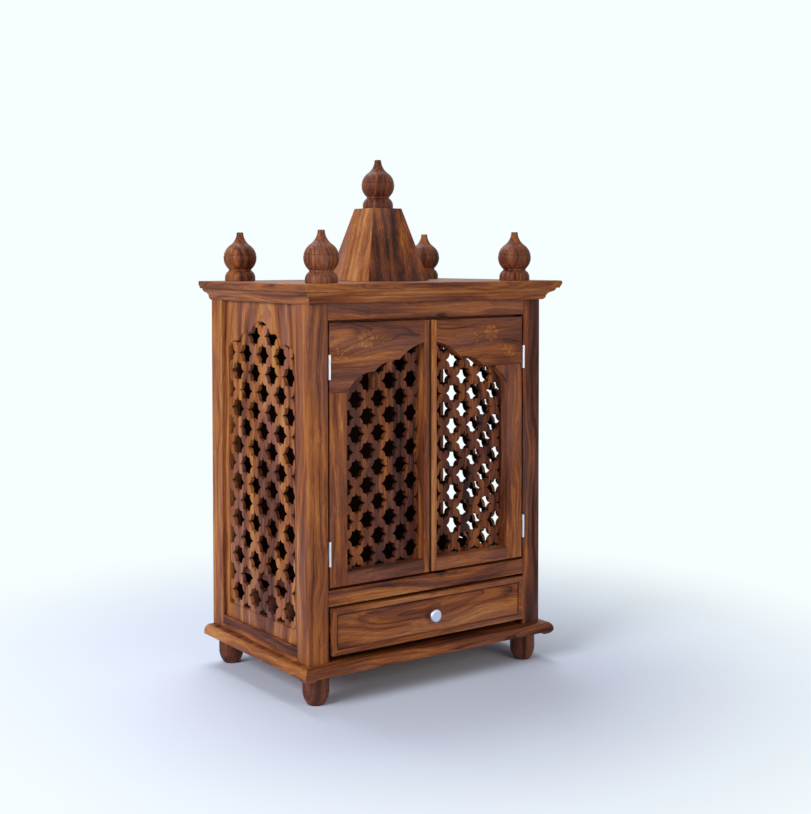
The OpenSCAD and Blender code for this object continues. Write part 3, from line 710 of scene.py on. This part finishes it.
@dataclass
class Roof:
    """The tapered tower, its cap, and the five turned finials."""

    collar: float = 30.0 * MM
    rim: float = 6.0 * MM
    collar_height: float = 23.0 * MM
    waist: float = 22.25 * MM
    bulb: float = 32.5 * MM
    bulb_side: float = 30.0 * MM
    tip: float = 6.5 * MM
    neck_angle: float = 54.6
    groove_rise: float = 5.0 * MM
    groove: float = 1.0 * MM

    def profile(self) -> list[tuple[float, float]]:
        """Heights and radii of a finial.

        Returns:
            The points, from the bottom up.
        """
        collar_side = self.collar_height - self.rim
        inner = self.bulb - self.bulb_side
        drop = self.bulb_side - (self.bulb - self.waist)
        bulb_z = self.collar_height + math.sqrt(self.bulb_side ** 2 - drop ** 2)
        turn = math.radians(self.neck_angle)
        neck = (inner + self.bulb_side * math.cos(turn) - self.tip) / (1 - math.cos(turn))
        neck_z = bulb_z + (self.bulb_side + neck) * math.sin(turn)
        neck_r = inner + (self.bulb_side + neck) * math.cos(turn)
        waist_at = math.degrees(math.acos((self.waist - self.collar + collar_side) / collar_side))
        points = [(0.0, 0.001), (0.0, self.collar - 0.8 * MM), (0.8 * MM, self.collar)]
        points += arc((self.rim, self.collar - collar_side), collar_side, 0, waist_at, 10)
        start = -math.degrees(math.acos((self.waist - inner) / self.bulb_side))
        dent = math.degrees(math.asin(self.groove_rise / self.bulb_side))
        points += arc((bulb_z, inner), self.bulb_side, start, dent - 2.0, 14)
        at = inner + self.bulb_side * math.cos(math.radians(dent))
        points += [(bulb_z + self.groove_rise - self.groove * 0.3, at - self.groove * 0.8),
                   (bulb_z + self.groove_rise + self.groove * 0.3, at - self.groove * 0.8)]
        points += arc((bulb_z, inner), self.bulb_side, dent + 2.0, self.neck_angle, 12)
        points += [(neck_z - neck * math.sin(a), neck_r - neck * math.cos(a))
                   for a in (turn * (11 - i) / 12 for i in range(11))]
        points += [(neck_z - 0.6 * MM, self.tip), (neck_z - 0.1 * MM, self.tip - 0.8 * MM), (neck_z, 0.001)]
        return points

    def build(self) -> None:
        """Makes the roof."""
        for i, node in enumerate(("tower", "tower_cap")):
            piece = merged_copy(f"wood_{node}", node, 1.0 * MM if i == 0 else 0.3 * MM, angle=20.0)
            wood = Sheesham(node, Grain.Z, middle(node), 41.0 + i, shade=0.42, pith=(0.3, 0.0), lean=0.0,
                            streak=0.5, tint=0.3, wave=0.015)
            # the faces that look left, towards the key lamp, take a paler and more lilac copy of the wood: painted
            # light on the lit side
            side = Sheesham(f"{node}_side", Grain.Z, middle(node), 46.0 + i, shade=0.72, pith=(0.0, 0.3),
                            lean=0.0, streak=0.4, tint=0.8, wave=0.015)
            finish(piece, Body.CABINET, [node], wood.build(), side.build(), facing((-1.0, 0.0, 0.0)))
        first = None
        for i, node in enumerate(("centre_finial", "finial_front_left", "finial_front_right",
                                  "finial_back_left", "finial_back_right")):
            x, y, _ = middle(node)
            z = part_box(node)[0][2]
            if first is None:
                made = turned(f"wood_{node}", self.profile(), (x, y, z))
                first = (made, x, y, z)
            else:
                made = twin(first[0], f"wood_{node}", (x - first[1], y - first[2], z - first[3]))
            wood = Sheesham(node, Grain.Z, (x, y, z + 0.045), 43.0 + i * 2.1, shade=0.45, pith=(0.15, 0.02),
                            lean=0.0, band=0.4, streak=0.6)
            finish(made, Body.CABINET, [node], wood.build())


@dataclass
class Carving:
    """A flower and its leaves, cut in low relief into the top rail of a door.

    Each petal and leaf is a small outline with a raised rim and a sunken field.
    """

    name: str
    body: Body
    flower: tuple[float, float]
    leaves: tuple[tuple[float, float, float, float], ...]
    plane: float
    wood: bpy.types.Material
    painted_shade_field_wood: bpy.types.Material
    bed: float = 0.25 * MM
    rise: float = 1.25 * MM
    sink: float = 0.95 * MM
    slope: float = 0.5 * MM
    rim: float = 0.8 * MM

    def outline(self, length: float, width: float) -> bpy.types.Object:
        """One petal or leaf at the origin, which looks along -Y and points along X.

        Args:
            length: its length.
            width: its width.

        Returns:
            The petal.
        """
        deselect()
        bpy.ops.mesh.primitive_circle_add(vertices=24, radius=0.5, fill_type="NGON",
                                          rotation=(math.pi / 2, 0.0, 0.0))
        piece = bpy.context.object
        piece.scale = (length, width, 1.0)
        rest_origin(piece)
        bpy.ops.object.mode_set(mode="EDIT")
        bpy.ops.mesh.select_mode(type="FACE")
        bpy.ops.mesh.select_all(action="SELECT")
        bpy.ops.mesh.inset(thickness=self.slope, depth=self.rise)
        bpy.ops.mesh.inset(thickness=self.rim)
        bpy.ops.mesh.inset(thickness=self.slope, depth=-self.sink)
        bpy.ops.mesh.inset(thickness=self.slope, depth=self.sink * 0.4)
        bpy.ops.object.mode_set(mode="OBJECT")
        return piece

    def put(self, source: bpy.types.Object, x: float, z: float, angle: float) -> bpy.types.Object:
        """A copy of an outline on the rail.

        Args:
            source: the outline.
            x: its place across.
            z: its height.
            angle: degrees by which it is turned upwards from +X.

        Returns:
            The copy.
        """
        made = bpy.data.objects.new(f"{source.name}_set", source.data.copy())
        bpy.context.scene.collection.objects.link(made)
        made.location = (x, self.plane + self.bed, z)
        made.rotation_euler = (0.0, -math.radians(angle), 0.0)
        rest_origin(made)
        return made

    def build(self) -> None:
        """Makes the carving as one piece."""
        x, z = self.flower
        wide = self.outline(13.0 * MM, 11.0 * MM)
        small = self.outline(7.5 * MM, 6.0 * MM)
        heart = self.outline(5.0 * MM, 5.0 * MM)
        made = [self.put(heart, x, z, 0.0)]
        for source, count, reach, start in ((wide, 7, 11.5 * MM, 12.0), (small, 5, 5.6 * MM, 30.0)):
            for i in range(count):
                angle = start + 360.0 * i / count
                turn = math.radians(angle)
                made.append(self.put(source, x + reach * math.cos(turn), z + reach * math.sin(turn), angle))
        blade = self.outline(13.0 * MM, 4.6 * MM)
        stalk = self.outline(24.0 * MM, 2.6 * MM)
        for leaf_x, leaf_z, angle, share in self.leaves:
            source = stalk if share > 1.5 else blade
            made.append(self.put(source, leaf_x * MM, leaf_z * MM, angle))
        for source in (wide, small, heart, blade, stalk):
            bpy.data.objects.remove(source)
        deselect()
        for piece in made:
            piece.select_set(True)
        bpy.context.view_layer.objects.active = made[0]
        bpy.ops.object.join()
        made[0].name = self.name
        ease_edges(made[0], 0.0)
        # the sunken fields take a darker copy of the rail's wood: painted shade in the hollows of the relief
        finish(made[0], self.body, [], self.wood, self.painted_shade_field_wood,
               lambda face: face.center.y > self.plane - 0.35 * MM)


@dataclass
class Door:
    """One pierced door: two stiles, two rails, the lattice board behind them and the hinge leaves."""

    side: int
    steel: bpy.types.Material
    flower: tuple[float, float]
    leaves: tuple[tuple[float, float, float, float], ...]
    rim: float = 20.0 * MM

    @property
    def word(self) -> str:
        """Which door this is."""
        return "left" if self.side < 0 else "right"

    @property
    def body(self) -> Body:
        """The body that it is."""
        return Body.LEFT_DOOR if self.side < 0 else Body.RIGHT_DOOR

    def build(self) -> None:
        """Makes the door."""
        seeds = 51.0 if self.side < 0 else 63.0
        for i, (part, grain, tone, width) in enumerate((
                ("hinge_stile", Grain.Z, 0.56, 1.2), ("meeting_stile", Grain.Z, 0.64, 1.0),
                ("bottom_rail", Grain.X, 0.44, 1.0), ("top_rail", Grain.X, 0.5, 1.2))):
            node = f"{self.word}_door_{part}"
            piece = merged_copy(f"wood_{node}", node, width * MM)
            wood = Sheesham(node, grain, middle(node), seeds + i * 2.7, shade=tone, pith=(0.035, 0.045), lean=0.08)
            finish(piece, self.body, [node], wood.build())
        # the carving is cut from the rail, so the rail's figure runs on in it; its raised rims are painted paler, a
        # painted highlight, and its sunken fields darker, painted shade
        painted_highlight_rims, fields = (Sheesham(f"{node}_{word}", grain, middle(node), seeds + i * 2.7, shade=tone + change,
                                 pith=(0.035, 0.045), lean=0.08).build()
                        for word, change in (("painted_highlight_rims", 0.2), ("fields", -0.08)))
        Carving(f"carved_{self.word}_flower", self.body, self.flower, self.leaves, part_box(node)[0][1],
                painted_highlight_rims, fields).build()
        node = f"{self.word}_door_jali"
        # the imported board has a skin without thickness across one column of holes, which is open in the real one
        low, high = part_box(node)
        piece = merged_copy(f"wood_{node}", node, 0.9 * MM, pierced=True,
                            opened=lambda face: (abs(face.normal.x) > 0.99
                                                 and low[0] + self.rim < face.center.x < high[0] - self.rim))
        wood = Sheesham(node, Grain.Z, middle(node), seeds + 11.0, shade=0.42, tint=0.15, band=1.0)
        finish(piece, self.body, [node], wood.build())
        node = f"{self.word}_door_hinge_leaves"
        piece = merged_copy(f"steel_{node}", node, 0.15 * MM)
        finish(piece, self.body, [node], self.steel)


@dataclass
class Drawer:
    """The drawer: front, raised border, box, bottom and knob."""

    border: float = 9.5 * MM
    groove: float = 2.6 * MM
    groove_depth: float = 2.5 * MM
    kicker_top: float = 196.0 * MM
    kicker_low: float = 166.0 * MM
    kicker_thick: float = 12.0 * MM

    def front(self) -> bpy.types.Object:
        """The front board, with a shadow groove inside the raised border.

        Returns:
            The board.
        """
        low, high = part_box("drawer_front")
        piece = board("wood_drawer_front", low, high, 0.0)
        activate(piece)
        for face in piece.data.polygons:
            face.select = face.normal.y < -0.9
        bpy.ops.object.mode_set(mode="EDIT")
        bpy.ops.mesh.select_mode(type="FACE")
        bpy.ops.mesh.inset(thickness=self.border)
        bpy.ops.mesh.extrude_region_move(TRANSFORM_OT_translate={"value": (0.0, self.groove_depth, 0.0)})
        bpy.ops.mesh.inset(thickness=self.groove)
        bpy.ops.mesh.extrude_region_move(TRANSFORM_OT_translate={"value": (0.0, -self.groove_depth, 0.0)})
        bpy.ops.object.mode_set(mode="OBJECT")
        ease_edges(piece, 0.5 * MM)
        return piece

    def kicker(self) -> None:
        """The batten behind the rail over the drawer, which keeps the drawer from tipping when it is out."""
        low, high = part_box("front_middle_rail")
        piece = board("wood_drawer_kicker", (low[0], high[1] - self.kicker_thick, self.kicker_low),
                      (high[0], high[1], self.kicker_top), 0.6 * MM)
        wood = Sheesham("drawer_kicker", Grain.X, middle("front_middle_rail"), 85.0, shade=0.3)
        finish(piece, Body.CABINET, [], wood.build())

    def build(self) -> None:
        """Makes the drawer."""
        self.kicker()
        for i, (node, grain, tone) in enumerate((("drawer_front", Grain.X, 0.5), ("drawer_bottom", Grain.X, 0.5))):
            low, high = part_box(node)
            piece = self.front() if i == 0 else board(f"wood_{node}", low, high, 0.8 * MM)
            wood = Sheesham(node, grain, middle(node), 71.0 + i * 3.3, shade=tone, figure=0.9, pith=(0.02, 0.06),
                            lean=0.1)
            finish(piece, Body.DRAWER, [node], wood.build())
        # the drawer box's low tone of 0.25 is painted shade for the dark inside of the cabinet
        for i, (node, grain, tone) in enumerate((("drawer_border", Grain.X, 0.56), ("drawer_box", Grain.Y, 0.25))):
            piece = merged_copy(f"wood_{node}", node, (1.3 if i == 0 else 0.8) * MM)
            wood = Sheesham(node, grain, middle(node), 77.0 + i * 3.3, shade=tone)
            ends = Sheesham(f"{node}_ends", Grain.Z, middle(node), 88.0, shade=0.5)
            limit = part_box(node)[1][0] - self.border * 0.9
            finish(piece, Body.DRAWER, [node], wood.build(), ends.build() if i == 0 else None,
                   lambda face: abs(face.center.x) > limit)
        knob = merged_copy("metal_drawer_knob", "drawer_knob", 0.2 * MM, angle=40.0)
        finish(knob, Body.DRAWER, ["drawer_knob"],
               SatinMetal("nickel_satin_knob", "#c3cadb", 0.42).build())


@dataclass
class Studio:
    """The camera, the lamps, the pale floor and the white background."""

    camera_at: Point = (-1.53107, -2.20669 + 0.00165, 0.80625)
    yaw: float = 34.993
    pitch: float = -2.1455
    roll: float = 0.0726
    lens: float = 60.187
    shift: tuple[float, float] = (0.02396, -0.12106)
    white: str = "#f6feff"
    blue: str = "#e4f2fe"

    def camera(self) -> None:
        """Sets the camera."""
        data = bpy.data.cameras.new("camera")
        data.sensor_fit = "HORIZONTAL"
        data.sensor_width = 36.0
        data.lens = self.lens
        data.shift_x, data.shift_y = self.shift
        made = bpy.data.objects.new("camera", data)
        bpy.context.scene.collection.objects.link(made)
        made.location = self.camera_at
        made.rotation_euler = (math.radians(90 + self.pitch), math.radians(self.roll), math.radians(-self.yaw))
        bpy.context.scene.camera = made

    def lamp(self, name: str, place: Point, aim: Point, size: float, power: float, code: str) -> None:
        """Adds a soft square lamp.

        Args:
            name: its name.
            place: where it hangs.
            aim: the point that it faces.
            size: its side.
            power: its power in watts.
            code: its colour.
        """
        data = bpy.data.lights.new(name, "AREA")
        data.shape = "SQUARE"
        data.size = size
        data.energy = power
        data.color = linear(code)[:3]
        made = bpy.data.objects.new(name, data)
        bpy.context.scene.collection.objects.link(made)
        made.location = place
        made.rotation_euler = (Vector(place) - Vector(aim)).to_track_quat("Z", "Y").to_euler()

    def world(self) -> None:
        """A plain even surround for the object, and a white one for the camera and in reflections."""
        made = bpy.data.worlds.new("surround")
        bpy.context.scene.world = made
        made.use_nodes = True
        tree = made.node_tree
        tree.nodes.clear()
        even = add_node(tree, "ShaderNodeBackground", None, {"Color": linear("#e8eefa"), "Strength": 0.22})
        seen = add_node(tree, "ShaderNodeBackground", None, {"Color": linear(self.white), "Strength": 1.0})
        path = add_node(tree, "ShaderNodeLightPath")
        mirror = add_node(tree, "ShaderNodeMath",
                          {0: path.outputs["Is Camera Ray"], 1: path.outputs["Is Glossy Ray"]}, operation="ADD")
        clear = add_node(tree, "ShaderNodeMath", {0: mirror.outputs[0], 1: path.outputs["Is Transmission Ray"]},
                         operation="ADD", use_clamp=True)
        mix = add_node(tree, "ShaderNodeMixShader", {0: clear.outputs[0], 1: even.outputs[0], 2: seen.outputs[0]})
        add_node(tree, "ShaderNodeOutputWorld", {"Surface": mix.outputs[0]})

    def floor(self) -> None:
        """A plain pale floor that keeps the object's shadow near it and fades to white far off."""
        deselect()
        bpy.ops.mesh.primitive_plane_add(size=60.0, location=(0.0, 0.0, 0.0))
        made = bpy.context.object
        made.name = "floor"
        paint = bpy.data.materials.new("floor_paper")
        paint.use_nodes = True
        tree = paint.node_tree
        tree.nodes.clear()
        coord = add_node(tree, "ShaderNodeTexCoord")
        away = add_node(tree, "ShaderNodeVectorMath", {0: coord.outputs["Object"]}, operation="LENGTH")
        fade = add_node(tree, "ShaderNodeMapRange", {"Value": away.outputs["Value"]},
                        {"From Min": 0.36, "From Max": 1.2},
                        interpolation_type="SMOOTHSTEP")
        path = add_node(tree, "ShaderNodeLightPath")
        seen = add_node(tree, "ShaderNodeMath", {0: fade.outputs[0], 1: path.outputs["Is Camera Ray"]},
                        operation="MULTIPLY")
        matt = add_node(tree, "ShaderNodeBsdfDiffuse", None, {"Color": linear("#dfe9f8")})
        glow = add_node(tree, "ShaderNodeEmission", None, {"Color": linear(self.white), "Strength": 1.0})
        mix = add_node(tree, "ShaderNodeMixShader", {0: seen.outputs[0], 1: matt.outputs[0], 2: glow.outputs[0]})
        add_node(tree, "ShaderNodeOutputMaterial", {"Surface": mix.outputs[0]})
        made.data.materials.append(paint)

    def build(self) -> None:
        """Sets the studio up."""
        scene = bpy.context.scene
        scene.view_settings.view_transform = "Standard"
        self.camera()
        self.world()
        self.lamp("key_left", (-2.9, -0.7, 1.7), (0.0, 0.0, 0.5), 1.5, 82.0, "#fbf8ff")
        self.lamp("fill_front", (0.4, -3.2, 0.9), (0.0, 0.0, 0.5), 2.0, 42.0, "#fff6ec")
        self.lamp("top_soft", (0.2, 1.2, 2.9), (0.0, 0.0, 0.3), 2.0, 52.0, "#ffffff")
        self.floor()
        log.info("studio ready")


def main() -> None:
    """Builds the studio and every sub-assembly in order."""
    logging.basicConfig(level=logging.INFO, format="%(message)s")
    Studio().build()
    steel = SatinMetal("steel_sheet_zinc_plated", "#d3d5d8", 0.34).build()
    Carcass().build()
    Base().build()
    Cornice().build()
    Roof().build()
    Door(-1, steel, LEFT_FLOWER, LEFT_LEAVES).build()
    Door(1, steel, RIGHT_FLOWER, RIGHT_LEAVES).build()
    leaves = merged_copy("steel_cabinet_hinge_leaves", "cabinet_hinge_leaves", 0.15 * MM)
    finish(leaves, Body.CABINET, ["cabinet_hinge_leaves"], steel)
    Drawer().build()


if __name__ == "__main__":
    main()
